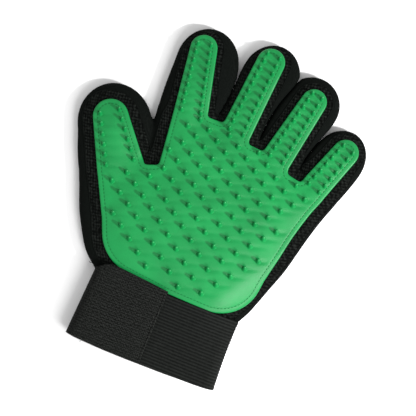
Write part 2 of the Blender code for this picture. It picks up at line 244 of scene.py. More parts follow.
def pad_outline():
    """The whole rubber pad, clockwise from its lower left corner."""
    strips = {name: pad_strip(finger, *PAD_ROOTS[name])
              for name, finger in FINGERS.items()}
    outline = fillet(PAD_LOWER_EDGE[-1], PAD_LOWER_LEFT, PAD_LEFT_EDGE[0],
                     PAD_LOWER_LEFT_RADIUS, 12)
    outline += smooth_path(PAD_LEFT_EDGE + [strips["thumb"][0]])[:-1]
    for name, following in zip(FINGER_NAMES, FINGER_NAMES[1:]):
        near, far = PAD_NOTCHES[name]
        outline += strips[name]
        up = PAD_INDEX_EDGE[0] if name == "thumb" else strips[following][0]
        outline += fillet(strips[name][-1], near, far, NOTCH_RADIUS)
        outline += fillet(near, far, up, NOTCH_RADIUS)
        if name == "thumb":
            outline += PAD_INDEX_EDGE
    outline += strips["little"]
    right = smooth_path([strips["little"][-1]] + PAD_RIGHT_EDGE)[1:]
    corner = fillet(right[-1], PAD_LOWER_RIGHT, PAD_LOWER_EDGE[0],
                    PAD_LOWER_RIGHT_RADIUS, 14)
    outline += right + corner + PAD_LOWER_EDGE
    return np.array([np.array(p, float) for p in outline])


def resample(loop, spacing):
    """Evenly spaced points round a closed loop."""
    closed = np.vstack([loop, loop[:1]])
    lengths = np.r_[0.0, np.cumsum(np.hypot(*np.diff(closed, axis=0).T))]
    count = int(round(lengths[-1] / spacing))
    at = np.linspace(0.0, lengths[-1], count, endpoint=False)
    return np.column_stack([np.interp(at, lengths, closed[:, 0]),
                            np.interp(at, lengths, closed[:, 1])])


def loop_ways(loop):
    """Unit directions along a closed loop."""
    along = np.roll(loop, -1, 0) - np.roll(loop, 1, 0)
    return along / np.hypot(*along.T)[:, None]


def loop_normals(loop):
    """Unit normals that point into a clockwise loop."""
    along = loop_ways(loop)
    return np.column_stack([along[:, 1], -along[:, 0]])


def averaged(loop, passes):
    """A closed loop's points or normals, each drawn towards its neighbours."""
    for _ in range(passes):
        loop = loop * 0.5 + (np.roll(loop, 1, 0) + np.roll(loop, -1, 0)) * 0.25
    return loop


def distance_to(x, y, loop):
    """Signed distance from points to a closed loop, negative inside."""
    x = np.asarray(x, float)
    y = np.asarray(y, float)
    nearest = np.full(x.shape, 1e9)
    inside = np.zeros(x.shape, bool)
    ends = np.roll(loop, -1, 0)
    for (x0, y0), (x1, y1) in zip(loop, ends):
        dx, dy = x1 - x0, y1 - y0
        length = dx * dx + dy * dy
        if length < 1e-12:
            continue
        t = np.clip(((x - x0) * dx + (y - y0) * dy) / length, 0.0, 1.0)
        nearest = np.minimum(nearest, (x - x0 - t * dx) ** 2 + (y - y0 - t * dy) ** 2)
        if y0 != y1:
            inside ^= ((y0 > y) != (y1 > y)) & (x < x0 + (y - y0) * dx / dy)
    distance = np.sqrt(nearest)
    return np.where(inside, -distance, distance)


# ---------------- the cloth shell

GRID = 1.2                # spacing of the field that the shell is drawn from
FIELD_LOW = -2.0          # the field's extent in height
FIELD_HIGH = 19.0
HAND_AREA = ((-112.0, 38.0), (104.0, 194.0))   # and in plan, for the hand
EDGE_ROUND = 8.6          # how far in from the silhouette the shell starts to roll over
EDGE_POWER = 2.25         # 2 is an ellipse, more is squarer
THINNEST = 0.5            # least thickness of the puffed shell
SLEEVE_SINK = 1.0         # two sleeves that are pressed together sink in a little
PALM_SINK = 0.5           # the puffed palm lies this far under the CAD's panel
PALM_UNEVENNESS = 0.35
BACK_LIFT = 0.15          # and the back this far over the floor
BACK_UNEVENNESS = 0.12
WRIST_DROP = 0.2          # the palm falls this much towards the wristband
WRIST_DROP_START = 72.0
WRIST_DROP_LENGTH = 24.0
TIP_DROP = 1.6            # and each finger towards its tip
CORNER_START = (33.0, 64.0)   # the palm rolls down past here, at its lower right
CORNER_WAY = (0.82, -0.57)
CORNER_REACH = 20.0
CORNER_DROP = 4.4
TUCK_END = 52.6           # the shell tucks into the wristband below here
TUCK_LENGTH = 3.4
TUCK_TOP = 13.2
TUCK_BOTTOM = 2.1
SHELL_END = 44.0          # its open end, inside the band
MESH_MARGIN = 7.4         # spacer mesh shows this far round the rubber
MESH_NARROWING = 2.8      # less between the fingers
BACK_MARGIN = 4.5         # and comes this near to the silhouette on the back
SEAM_RADIUS = 0.36

PLAN_LOW = (-116.0, 36.0)
PLAN_HIGH = (110.0, 250.0)
PLAN_STEP = 1.0
CREASE_SOFTNESS = 1.3
DOME_DROP = 3.4           # the filling thins out towards the silhouette
DOME_REACH = 13.0
DOME_SOFTNESS = 3.5
CLOTH_EASE = 0.5          # the cloth stands this far out of its seam line
WALL_STEEPNESS = 1.6      # how abruptly a sleeve turns down beside its neighbour


def wander(x, y, size, seed):
    """Smooth unevenness between about -1 and 1, the same on every run."""
    flat_x = np.ravel(x) / size
    flat_y = np.ravel(y) / size
    values = [noise.noise(Vector((a, b, seed))) for a, b in zip(flat_x, flat_y)]
    return np.array(values).reshape(np.shape(x))


class Plan:
    """A function of the layout's x and y, read from its values on a regular grid."""

    def __init__(self, values):
        self.values = values

    def __call__(self, x, y):
        across, along = (
            np.clip((np.asarray(at, float) - low) / PLAN_STEP, 0, count - 1.001)
            for at, low, count in zip((x, y), PLAN_LOW, self.values.shape))
        i, j = across.astype(int), along.astype(int)
        p, q = across - i, along - j
        low = self.values[i, j] * (1 - p) + self.values[i + 1, j] * p
        high = self.values[i, j + 1] * (1 - p) + self.values[i + 1, j + 1] * p
        return low * (1 - q) + high * q


def softened(values, softness):
    """Values with their creases rounded off, by a bell-shaped average."""
    reach = int(3 * softness / PLAN_STEP)
    offsets = np.arange(-reach, reach + 1) * PLAN_STEP
    weights = np.exp(-0.5 * (offsets / softness) ** 2)
    weights /= weights.sum()
    for axis in (0, 1):
        padded = np.pad(values, [(reach, reach) if a == axis else (0, 0) for a in (0, 1)],
                        mode="edge")
        length = values.shape[axis]
        values = sum(w * np.take(padded, range(i, i + length), axis)
                     for i, w in enumerate(weights))
    return values


def rounded_loop(loop, softness):
    """A closed loop with its corners rounded off."""
    return averaged(resample(loop, 1.0), int(softness ** 2 * 2))[::2]


def pressed(name, sleeves):
    """A sleeve's distance, with its walls flattened where the next fingers lie on it."""
    order = FINGER_NAMES[1:]
    sleeve = sleeves[name]
    if name in order:
        at = order.index(name)
        for other in order[max(at - 1, 0):at] + order[at + 1:at + 2]:
            wall = (sleeves[name] - sleeves[other]) * WALL_STEEPNESS - SLEEVE_SINK
            sleeve = np.maximum(sleeve, wall)
    return sleeve


def make_plans():
    """Signed distance to the silhouette: of each sleeve, the whole glove, and the hand
    with one finger."""
    x, y = np.meshgrid(*(np.arange(low, high, PLAN_STEP)
                         for low, high in zip(PLAN_LOW, PLAN_HIGH)), indexing="ij")
    hand = distance_to(x, y, HAND_LOOP) - CLOTH_EASE
    sleeves = {name: distance_to(x, y, loop) - CLOTH_EASE
               for name, loop in FINGER_LOOPS.items()}
    whole = np.minimum(hand, np.min(list(sleeves.values()), axis=0))
    plans = {"whole": Plan(softened(whole, CREASE_SOFTNESS))}
    deepest = hand
    for name in FINGERS:
        own = np.minimum(hand, pressed(name, sleeves))
        deepest = np.minimum(deepest, own)
        plans[name] = Plan(softened(own, CREASE_SOFTNESS))
        plans[name + "_sleeve"] = Plan(sleeves[name])
    inside = np.maximum(-deepest - EDGE_ROUND, 0.0)
    plans["fall"] = Plan(softened(np.exp(-inside / DOME_REACH), DOME_SOFTNESS))
    plans["pad"] = Plan(distance_to(x, y, PAD_LOOP))
    return plans


def plan_distance(x, y, names):
    """Signed distance in plan to the silhouette of the hand and the named fingers."""
    return PLANS[names[0] if len(names) == 1 else "whole"](x, y)


PAD_LOOP = resample(pad_outline(), 1.3)
HAND_LOOP = rounded_loop(np.array(hand_outline()), 1.5)
FINGER_LOOPS = {name: rounded_loop(np.array(shell_outline(finger)), 3.0)
                for name, finger in FINGERS.items()}
PLANS = make_plans()


def shell_heights(x, y, names):
    """Top and bottom faces of the shell where it isn't rolling over at its edge."""
    top = SHELL_TOP - PALM_SINK + PALM_UNEVENNESS * wander(x, y, 34.0, 3.7)
    near_wrist = np.clip((WRIST_DROP_START - y) / WRIST_DROP_LENGTH, 0.0, 1.0)
    top = top - WRIST_DROP * near_wrist ** 2
    bottom = BACK_LIFT + BACK_UNEVENNESS * wander(x, y, 26.0, 9.1)
    top = top - corner_drop(x, y) - DOME_DROP * PLANS["fall"](x, y)
    for name in names:
        finger = FINGERS[name]
        side, reach = finger_place(finger, x, y)
        near_tip = np.clip(reach / finger.length * 2.0 - 0.9, 0.0, 1.1)
        beside = np.clip((finger.side_left + 8.0 - np.abs(side)) / 6.0, 0.0, 1.0)
        top = top - TIP_DROP * beside * near_tip ** 2
    tucked = ease((TUCK_END - y) / TUCK_LENGTH)
    tuck_top = TUCK_TOP - corner_drop(x, BAND_LENGTH)
    return top + (tuck_top - top) * tucked, bottom + (TUCK_BOTTOM - bottom) * tucked


def corner_drop(x, y):
    """How far the palm has rolled down towards its lower right corner."""
    past = (x - CORNER_START[0]) * CORNER_WAY[0] + (y - CORNER_START[1]) * CORNER_WAY[1]
    return CORNER_DROP * (np.maximum(past, 0.0) / CORNER_REACH) ** 2


def ease(share):
    share = np.clip(share, 0.0, 1.0)
    return share * share * (3 - 2 * share)


def shell_surface(x, y, names):
    """Height of the shell's upper skin."""
    distance = plan_distance(x, y, names)
    top, bottom = shell_heights(x, y, names)
    roll = np.clip((distance + EDGE_ROUND) / EDGE_ROUND, 0.0, 1.0)
    rise = (1.0 - roll ** EDGE_POWER) ** (1.0 / EDGE_POWER)
    return (top + bottom) / 2 + (top - bottom) / 2 * rise


class ClothField:
    """Puffed cloth as a field that is negative inside, on a regular grid."""

    def __init__(self, names, low, high):
        self.names = names
        self.low = np.floor(np.array(low) / GRID) * GRID
        count = np.ceil((np.array(high) - self.low) / GRID).astype(int) + 1
        xs, ys, zs = (self.low[i] + GRID * np.arange(count[i]) for i in range(3))
        x, y = np.meshgrid(xs, ys, indexing="ij")
        distance = plan_distance(x, y, names)
        top, bottom = shell_heights(x, y, names)
        roll = np.maximum((distance + EDGE_ROUND) / EDGE_ROUND, 0.0)[:, :, None]
        middle = ((top + bottom) / 2)[:, :, None]
        half = np.maximum((top - bottom) / 2, THINNEST / 2)[:, :, None]
        flat = np.abs(zs[None, None, :] - middle) / half
        size = (roll ** EDGE_POWER + flat ** EDGE_POWER) ** (1.0 / EDGE_POWER)
        self.field = (size - 1.0) * EDGE_ROUND

    def mesh(self):
        """Vertices and quads where the field changes sign, one vertex to a cell."""
        field = self.field
        cells = np.array(field.shape) - 1
        total = np.zeros((*cells, 3))
        hits = np.zeros(cells)
        crossings = []
        for axis in range(3):
            first = np.take(field, range(cells[axis]), axis)
            second = np.take(field, range(1, cells[axis] + 1), axis)
            changes = (first < 0) != (second < 0)
            crossings.append((changes, first < 0))
            share = np.where(changes, first / np.where(changes, first - second, 1.0), 0.0)
            place = np.stack(np.indices(first.shape).astype(float), -1)
            place[..., axis] += share
            place *= changes[..., None]
            others = [a for a in range(3) if a != axis]
            for steps in np.ndindex(2, 2):
                window = [slice(None)] * 3
                for other, step in zip(others, steps):
                    window[other] = slice(step, cells[other] + step)
                total += place[tuple(window)]
                hits += changes[tuple(window)]
        used = hits > 0
        index = np.full(cells, -1)
        index[used] = np.arange(used.sum())
        points = total[used] / hits[used][:, None] * GRID + self.low
        quads = []
        for axis, (changes, rising) in enumerate(crossings):
            a, b = [(1, 2), (2, 0), (0, 1)][axis]
            at = np.argwhere(changes)
            at = at[(at[:, a] > 0) & (at[:, b] > 0) & (at[:, a] < cells[a])
                    & (at[:, b] < cells[b])]
            corners = []
            for steps in ((-1, -1), (0, -1), (0, 0), (-1, 0)):
                near = at.copy()
                near[:, [a, b]] += steps
                corners.append(index[tuple(near.T)])
            faces = np.stack(corners, -1)
            flip = ~rising[tuple(at.T)]
            faces[flip] = faces[flip][:, ::-1]
            quads.append(faces)
        return points, np.vstack(quads)

    def sample(self, place):
        """The field at places that are measured in grid steps."""
        place = np.clip(place, 0.0, np.array(self.field.shape) - 1.001)
        base = place.astype(int)
        share = place - base
        value = np.zeros(len(place))
        for corner in np.ndindex(2, 2, 2):
            weight = np.prod(np.where(corner, share, 1 - share), axis=1)
            value += weight * self.field[tuple((base + corner).T)]
        return value

    def slope(self, place):
        """How fast the field grows along each axis, by half a grid step either way."""
        return np.stack([self.sample(place + step) - self.sample(place - step)
                         for step in 0.5 * np.eye(3)], axis=1)

    def normals(self, points):
        normal = self.slope((points - self.low) / GRID)
        return normal / np.linalg.norm(normal, axis=1)[:, None]

    def settle(self, points):
        """Move points onto the skin."""
        place = (points - self.low) / GRID
        slope = self.slope(place) / GRID
        return points - slope * (self.sample(place) / (slope ** 2).sum(1))[:, None]


def finger_claim(x, y, name):
    """Negative where the cloth belongs to a finger: past its knuckle, on its sleeve."""
    reach = finger_place(FINGERS[name], x, y)[1]
    return np.maximum(HINGE_CUT - reach, PLANS[name + "_sleeve"](x, y) - 0.3)


def hand_claim(x, y):
    """Negative where the cloth belongs to the hand."""
    return -np.min([finger_claim(x, y, name) for name in FINGERS], axis=0)


def claim_of(body):
    """Measure of places that is negative on one body."""
    if body == "hand":
        return lambda places: hand_claim(*places.T[:2])
    return lambda places: finger_claim(*places.T[:2], body)


def gusset_claim(places):
    """Positive on the stretch-knit band between the palm's and the back's mesh."""
    x, y, z = places.T
    margin = MESH_MARGIN - MESH_NARROWING * ease((y - 165.0) / 15.0)
    on_palm = PLANS["pad"](x, y) - margin
    on_back = plan_distance(x, y, FINGER_NAMES) + BACK_MARGIN
    upper = ease((z - 5.0) / 5.0)
    return on_back * (1 - upper) + on_palm * upper


def shape_of(points, faces):
    mesh = bpy.data.meshes.new("shape")
    mesh.from_pydata(points.tolist(), [], faces.tolist())
    shape = bmesh.new()
    shape.from_mesh(mesh)
    bpy.data.meshes.remove(mesh)
    return shape


def places_of(elements):
    return np.array([e.co[:] for e in elements])


def split_where(shape, measure):
    """Cut a shape along the line where measure is zero: its negative and positive part."""
    shape.verts.index_update()
    values = measure(places_of(shape.verts))
    cuts = {}                 # dictionaries keep one order on every run
    for edge in list(shape.edges):
        start, end = edge.verts
        low, high = values[start.index], values[end.index]
        if (low < 0) != (high < 0):
            share = min(max(low / (low - high), 0.04), 0.96)
            cuts[bmesh.utils.edge_split(edge, start, share)[1]] = True
    for face in dict.fromkeys(f for vert in cuts for f in vert.link_faces):
        ends = [vert for vert in face.verts if vert in cuts]
        if len(ends) == 2:
            bmesh.utils.face_split(face, ends[0], ends[1])
    shape.faces.ensure_lookup_table()
    centres = np.array([f.calc_center_median()[:] for f in shape.faces])
    negative = measure(centres) < 0
    other = shape.copy()
    keep_faces(shape, negative)
    keep_faces(other, ~negative)
    return shape, other


def keep_faces(shape, kept):
    lost = [face for face, keep in zip(list(shape.faces), kept) if not keep]
    bmesh.ops.delete(shape, geom=lost, context="FACES")


def rim_paths(shape, measure):
    """The parts of a shape's open rim that lie where measure is about zero."""
    shape.verts.index_update()
    near = np.abs(measure(places_of(shape.verts))) < 0.35
    follow = {}
    for edge in shape.edges:
        a, b = edge.verts
        if edge.is_boundary and near[a.index] and near[b.index]:
            follow.setdefault(a.index, []).append(b.index)
            follow.setdefault(b.index, []).append(a.index)
    paths = []
    while follow:
        ends = [k for k, v in follow.items() if len(v) == 1]
        at = ends[0] if ends else next(iter(follow))
        path = [at]
        while follow.get(at):
            following = follow[at].pop()
            follow[following].remove(at)
            if not follow[at]:
                del follow[at]
            at = following
            path.append(at)
        follow.pop(at, None)
        if len(path) > 8:
            paths.append(path)
    return paths


def smoothed(path, passes=6):
    path = np.array(path, float)
    for _ in range(passes):
        path[1:-1] = path[1:-1] * 0.5 + (path[:-2] + path[2:]) * 0.25
    return path


def tube(path, radius, sides=6):
    """A thin tube along a path, with closed ends: its vertices and faces."""
    path = np.array(path, float)
    along = np.gradient(path, axis=0)
    along /= np.maximum(np.linalg.norm(along, axis=1), 1e-9)[:, None]
    guide = np.tile([0.0, 0.0, 1.0], (len(path), 1))
    guide[np.abs(along[:, 2]) > 0.9] = [1.0, 0.0, 0.0]
    across = np.cross(along, guide)
    across /= np.linalg.norm(across, axis=1)[:, None]
    up = np.cross(across, along)
    rings = []
    for turn in np.arange(sides) * 2 * math.pi / sides:
        rings.append(path + radius * (across * math.cos(turn) + up * math.sin(turn)))
    points = np.stack(rings, 1).reshape(-1, 3)
    faces = grid_faces(len(path), sides, wrap=True)
    faces.append(tuple(range(sides))[::-1])
    faces.append(tuple(range(len(points) - sides, len(points))))
    return points, faces


def grid_faces(rows, columns, wrap=False, wrap_rows=False):
    """Quads of a grid of points; wrap closes its columns and wrap_rows its rows."""
    faces = []
    for i in range(rows if wrap_rows else rows - 1):
        for j in range(columns if wrap else columns - 1):
            k, m = (j + 1) % columns, (i + 1) % rows
            faces.append((i * columns + j, i * columns + k, m * columns + k,
                          m * columns + j))
    return faces


def joined(parts):
    """Several (points, faces) as one."""
    points, faces, start = [], [], 0
    for part_points, part_faces in parts:
        points.append(np.asarray(part_points, float))
        faces += [tuple(int(i) + start for i in face) for face in part_faces]
        start += len(part_points)
    return np.vstack(points), faces


# ---------------- pieces

def add_object(name, data):
    made = bpy.data.objects.new(name, data)
    bpy.context.scene.collection.objects.link(made)
    return made


def add_piece(name, points, faces, material, normals=None, pattern=None):
    """A mesh in the frame that also remembers where its pattern lies, in layout
    millimetres or laid out flat."""
    mesh = bpy.data.meshes.new(name)
    mesh.from_pydata(to_frame(points).tolist(), [], faces)
    mesh.shade_smooth()
    rest = mesh.attributes.new("rest", "FLOAT_VECTOR", "POINT")
    places = points if pattern is None else pattern
    rest.data.foreach_set("vector", np.ravel(np.array(places, np.float32)))
    if normals is not None:
        mesh.normals_split_custom_set_from_vertices(normals.tolist())
    mesh.materials.append(material)
    return add_object(name, mesh)


def attach(piece, body, nodes=()):
    """Ride on the hand or the strap; a finger's piece only has its placing baked into its
    mesh.
    """
    if body in FINGERS:
        reaches = (BEND_START, THUMB_BEND_END if body == "thumb" else BEND_END)
        start, end = (to_frame((*on_finger(FINGERS[body], 0.0, reach), SHELL_TOP))
                      for reach in reaches)
        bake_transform(piece)
    else:
        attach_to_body(piece, body)
    if nodes:
        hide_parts(*nodes)


def shape_arrays(shape):
    shape.verts.index_update()
    faces = [tuple(v.index for v in face.verts) for face in shape.faces]
    return places_of(shape.verts), faces


def cloth_pieces(body, shell, shape):
    """Spacer-mesh shell and stretch-knit gusset of one body, from its skin."""
    mesh_part, gusset = split_where(shape, gusset_claim)
    prefix = body + "_"
    if body == "hand":
        mesh_nodes = ["hand_back_panel", "hand_palm_panel"]
        gusset_nodes = ["thumb_side_gusset", "thumb_crotch_gusset", "little_side_gusset",
                        "index_middle_web", "middle_ring_web", "ring_little_web"]
    else:
        mesh_nodes = [prefix + "back_panel", prefix + "palm_panel"]
        gusset_nodes = [prefix + "gusset_left", prefix + "gusset_right"]
    points, faces = shape_arrays(mesh_part)
    piece = add_piece(prefix + "mesh_shell", points, faces, MATERIALS["spacer_mesh"],
                      shell.normals(points))
    attach(piece, body, mesh_nodes)

    points, faces = shape_arrays(gusset)
    normals = shell.normals(points)
    parts = [(points, faces)]
    for path in rim_paths(gusset, gusset_claim):
        line = smoothed(points[path] + normals[path] * 0.05)
        parts.append(tube(line, SEAM_RADIUS))
    piece = add_piece(prefix + "gusset_band", *joined(parts), MATERIALS["stretch_knit"])
    attach(piece, body, gusset_nodes)


def make_cloth():
    for body in BODIES:
        names, (low, high) = FINGER_NAMES, HAND_AREA
        if body != "hand":
            loop = FINGER_LOOPS[body]
            names, low, high = [body], loop.min(0) - 4.0, loop.max(0) + 4.0
        shell = ClothField(names, (*low, FIELD_LOW), (*high, FIELD_HIGH))
        points, faces = shell.mesh()
        shape = split_where(shape_of(shell.settle(points), faces), claim_of(body))[0]
        if body == "hand":
            shape = split_where(shape, lambda places: SHELL_END - places[:, 1])[0]
        cloth_pieces(body, shell, shape)


# ---------------- rubber pad

PAD_LIFT = 0.15           # rubber above the cloth
RIM = [(0.0, 0.15), (0.08, 0.9), (0.3, 1.24), (0.65, 1.37), (1.1, 1.4), (2.8, 1.39),
       (3.3, 1.29), (3.8, 1.38), (4.5, 1.4)]   # distance in from the edge, height
FACE_GRID = (1.35, 0.8)   # spacing of the rubber's points, clearance from its edge
BACK_GRID = (6.0, 3.0)
FOLD_DEPTH = 0.82
FINGER_FOLD_DEPTH = 0.72
FOLD_REACH = 7.2
FOLD_WIDTH = 1.25
FOLD_RISE = 0.26
STITCH_INSET = 3.3
STITCH_HEIGHT = 1.32      # over the rubber's underside, in the groove
STITCH_PITCH = 2.5
STITCH_LENGTH = 1.7
STITCH_RADIUS = 0.22
NUB_PROFILE = [(2.4, -0.3), (1.95, 0.15), (1.68, 0.6), (1.46, 1.3), (1.32, 2.3),
               (1.22, 3.4), (1.12, 4.2), (0.88, 4.75), (0.47, 5.03), (0.0, 5.1)]
NUB_SIDES = 12
FINGER_NUB_GIRTH = 0.86   # the nubs on the fingers are this much slimmer


def pad_height(x, y):
    """Height of the cloth under the rubber."""
    return shell_surface(np.asarray(x, float), np.asarray(y, float), FINGER_NAMES)


def lattice_point(c, r):
    return (NUB_ORIGIN[0] + NUB_COLUMN_STEP * c + NUB_ROW_LEAN * r + NUB_CONVERGE * c * r,
            NUB_ORIGIN[1] + NUB_ROW_STEP * r + NUB_COLUMN_RISE * c
            + NUB_COLUMN_DROOP * c ** 2 + NUB_ROW_DROOP * r ** 2)


def relief(x, y, nubs, depths):
    """Shallow folds in the rubber, sagging towards the wrist at each nub."""
    height = np.zeros_like(x)
    for (nub_x, nub_y), depth in zip(nubs, depths):
        side = np.abs(x - nub_x)
        fold = y - nub_y - FOLD_RISE * side
        height -= (depth * np.exp(-(side / FOLD_REACH) ** 2)
                   * np.exp(-(fold / FOLD_WIDTH) ** 2))
    return height * ease((-distance_to(x, y, PAD_LOOP) - RIM[-1][0]) / 2.0)


def owner_of(x, y):
    """The body that each point in plan belongs to."""
    claims = np.array([finger_claim(x, y, name) for name in FINGERS])
    names = np.array(FINGER_NAMES)[claims.argmin(0)]
    return np.where(claims.min(0) < 0, names, "hand")


def filled(loop, inner):
    """Triangles that fill a loop, through the inner points."""
    points = np.vstack([loop, inner])
    flat = [Vector(p) for p in points]
    result = delaunay_2d_cdt(flat, [], [list(range(len(loop)))], 1, 1e-4)
    return np.array([v[:] for v in result[0]]), [tuple(face) for face in result[2]]


def hex_points(loop, spacing, clearance):
    """Triangular grid of points that lie well inside a loop."""
    low, high = loop.min(0), loop.max(0)
    rows = []
    for i, y in enumerate(np.arange(low[1], high[1], spacing * math.sqrt(0.75))):
        x = np.arange(low[0] + spacing / 2 * (i % 2), high[0], spacing)
        rows.append(np.column_stack([x, np.full_like(x, y)]))
    points = np.vstack(rows)
    return points[distance_to(points[:, 0], points[:, 1], loop) < -clearance]


def pad_skin(nubs, depths):
    """The rubber as (points, faces): a rolled rim round a filled face, and its back."""
    normals = averaged(loop_normals(PAD_LOOP), 3)
    normals /= np.hypot(*normals.T)[:, None]
    rings = []
    for inset, height in RIM:
        ring = PAD_LOOP + normals * inset
        lift = pad_height(ring[:, 0], ring[:, 1]) + PAD_LIFT + height
        rings.append(np.column_stack([ring, lift]))
    count = len(PAD_LOOP)
    rim = (np.vstack(rings), [f[::-1] for f in grid_faces(len(RIM), count, wrap=True)])
    face_loop = rings[-1][:, :2]
    flat, faces = filled(face_loop, hex_points(face_loop, *FACE_GRID))
    top = np.column_stack([flat, pad_height(*flat.T) + PAD_LIFT + RIM[-1][1]
                           + relief(*flat.T, nubs, depths)])
    flat, back_faces = filled(PAD_LOOP, hex_points(PAD_LOOP, *BACK_GRID))
    back = np.column_stack([flat, pad_height(*flat.T) + RIM[0][1]])
    points, faces = joined([rim, (top, faces), (back, [f[::-1] for f in back_faces])])
    shape = shape_of(points, np.array(faces, object))
    bmesh.ops.remove_doubles(shape, verts=shape.verts, dist=0.02)
    bmesh.ops.recalc_face_normals(shape, faces=shape.faces)
    return shape


def palm_nubs():
    """Staggered rows of nubs, kept to the field inside the pad's seam."""
    field = np.array(NUB_FIELD)
    rows, columns = np.meshgrid(range(-5, 13), range(-8, 13), indexing="ij")
    keep = (rows + columns) % 2 == 0
    r, c = rows[keep], columns[keep]
    x, y = lattice_point(c, r)
    inside = distance_to(x, y, field) < 0
    return np.column_stack([x[inside], y[inside]])


def finger_nubs(finger):
    """Two columns of nubs that follow the edges of a finger's rubber strip."""
    places = []
    for row in range(finger.nub_rows):
        reach = finger.nub_first + finger.nub_pitch * row
        share = reach / finger.pad_length
        side = finger.pad_base + (finger.pad_tip - finger.pad_base) * share
        side -= finger.nub_inset
        shift = finger.pad_shift * share
        places += [on_finger(finger, shift - side, reach),
                   on_finger(finger, shift + side, reach)]
    return np.array(places)


def nub(x, y, base, girth):
    """One soft nub, leaning a little: its (points, faces)."""
    turns = np.arange(NUB_SIDES) * 2 * math.pi / NUB_SIDES
    points = []
    for radius, height in NUB_PROFILE[:-1]:
        share = max(height, 0.0) / NUB_HEIGHT
        points += [(x + NUB_TIP_SHIFT[0] * share + girth * radius * math.cos(t),
                    y + NUB_TIP_SHIFT[1] * share + girth * radius * math.sin(t),
                    base + height) for t in turns]
    rows = len(NUB_PROFILE) - 1
    faces = grid_faces(rows, NUB_SIDES, wrap=True)
    top = len(points)
    points.append((x + NUB_TIP_SHIFT[0], y + NUB_TIP_SHIFT[1], base + NUB_PROFILE[-1][1]))
    last = top - NUB_SIDES
    faces += [(last + i, last + (i + 1) % NUB_SIDES, top) for i in range(NUB_SIDES)]
    return np.array(points), faces


def stitch(start, end, z):
    """One stitch of thread, arching slightly out of the groove."""
    shares = np.array([0.0, 0.12, 0.3, 0.7, 0.88, 1.0])
    rise = np.array([-0.3, -0.02, 0.1, 0.1, -0.02, -0.3])
    path = start + (end - start) * shares[:, None]
    return tube(np.column_stack([path, z + rise]), STITCH_RADIUS, 6)


def pad_stitches():
    """Middles of the stitches round the pad, and each one's (points, faces)."""
    line = resample(PAD_LOOP + loop_normals(PAD_LOOP) * STITCH_INSET, STITCH_PITCH)
    heights = pad_height(*line.T) + PAD_LIFT + STITCH_HEIGHT
    made = []
    for middle, way, z in zip(line, loop_ways(line), heights):
        half = way * STITCH_LENGTH / 2
        made.append(stitch(middle - half, middle + half, z))
    return line, made


def make_pad():
    nubs = np.vstack([palm_nubs()] + [finger_nubs(f) for f in FINGERS.values()])
    nub_owner = owner_of(*nubs.T)
    depths = np.where(nub_owner == "hand", FOLD_DEPTH, FINGER_FOLD_DEPTH)
    shape = pad_skin(nubs, depths)
    bases = pad_height(*nubs.T) + PAD_LIFT + RIM[-1][1] - depths / 2
    line, stitches = pad_stitches()
    stitch_owner = owner_of(*line.T)
    for body in BODIES:
        prefix, girth = ("palm", 1.0) if body == "hand" else (body, FINGER_NUB_GIRTH)
        parts = [shape_arrays(split_where(shape.copy(), claim_of(body))[0])]
        parts += [nub(*place, base, girth) for place, base, owner
                  in zip(nubs, bases, nub_owner) if owner == body]
        piece = add_piece(prefix + "_rubber", *joined(parts), MATERIALS["rubber"])
        attach(piece, body, [prefix + "_pad"])
        own = [made for made, owner in zip(stitches, stitch_owner) if owner == body]
        piece = add_piece(prefix + "_stitching", *joined(own), MATERIALS["thread"])
        attach(piece, body)


# ---------------- wristband

RIB_PITCH = 2.2
RIB_DEPTH = 0.34
ROWS_PER_RIB = 6
RIB_START = 1.2           # the ribs fade in past here, from either end of the band
RIB_FADE = 1.5
BAND_STEP = 1.35          # spacing of points round the band
BAND_LEFT = -52.4         # the band's left edge at its top, inside the closure tab
BAND_LEFT_SPREAD = 1.2    # it is this much wider at the mouth
BAND_RIGHT = 54.9
BAND_RIGHT_SPREAD = 0.9
BAND_WAIST = 0.6          # the right edge draws in this much half way
BAND_DENTS = 0.45
MOUTH_BOW = 1.3           # how far the middle of the mouth's edge hangs down


def band_section(left, right, inset):
    """Flat tube across the wrist, as points (x, z) at shares of its girth."""
    radius = BAND_HEIGHT / 2
    flat = (right - left) - 2 * radius
    girth = 2 * flat + 2 * math.pi * radius
    count = int(round((2 * 2 * BAND_HALF_WIDTH + 2 * math.pi * radius) / BAND_STEP))
    points = []
    for at in np.arange(count) / count * girth:
        if at < flat:
            centre, angle = left + radius + at, math.pi / 2
        elif at < flat + math.pi * radius:
            centre, angle = right - radius, math.pi / 2 - (at - flat) / radius
        elif at < 2 * flat + math.pi * radius:
            centre = right - radius - (at - flat - math.pi * radius)
            angle = -math.pi / 2
        else:
            centre = left + radius
            angle = -math.pi / 2 - (at - 2 * flat - math.pi * radius) / radius
        reach = radius - inset
        points.append((centre + reach * math.cos(angle),
                       radius + reach * math.sin(angle)))
    return np.array(points)


def band_rows():
    """(share of the length, inset from the band's face) over the outside, round the
    mouth, back along the inside and round the top."""
    outer = np.linspace(1.0, 0.0, int(BAND_LENGTH / RIB_PITCH * ROWS_PER_RIB))
    rows = []
    for share in outer:
        wave = 0.5 + 0.5 * math.cos(share * BAND_LENGTH / RIB_PITCH * 2 * math.pi)
        edge = min(share, 1.0 - share) * BAND_LENGTH
        ribbed = min(max((edge - RIB_START) / RIB_FADE, 0.0), 1.0)
        rows.append((share, RIB_DEPTH * ribbed * wave ** 0.8))
    turn = np.linspace(0.0, math.pi, 7)[1:-1]
    half = BAND_WALL / 2
    rows += [(-half * math.sin(t) / BAND_LENGTH, half - half * math.cos(t))
             for t in turn]
    rows += [(share, BAND_WALL) for share in np.linspace(0.0, 1.0, 16)]
    rows += [(1.0 + half * math.sin(t) / BAND_LENGTH, half + half * math.cos(t))
             for t in turn]
    return rows


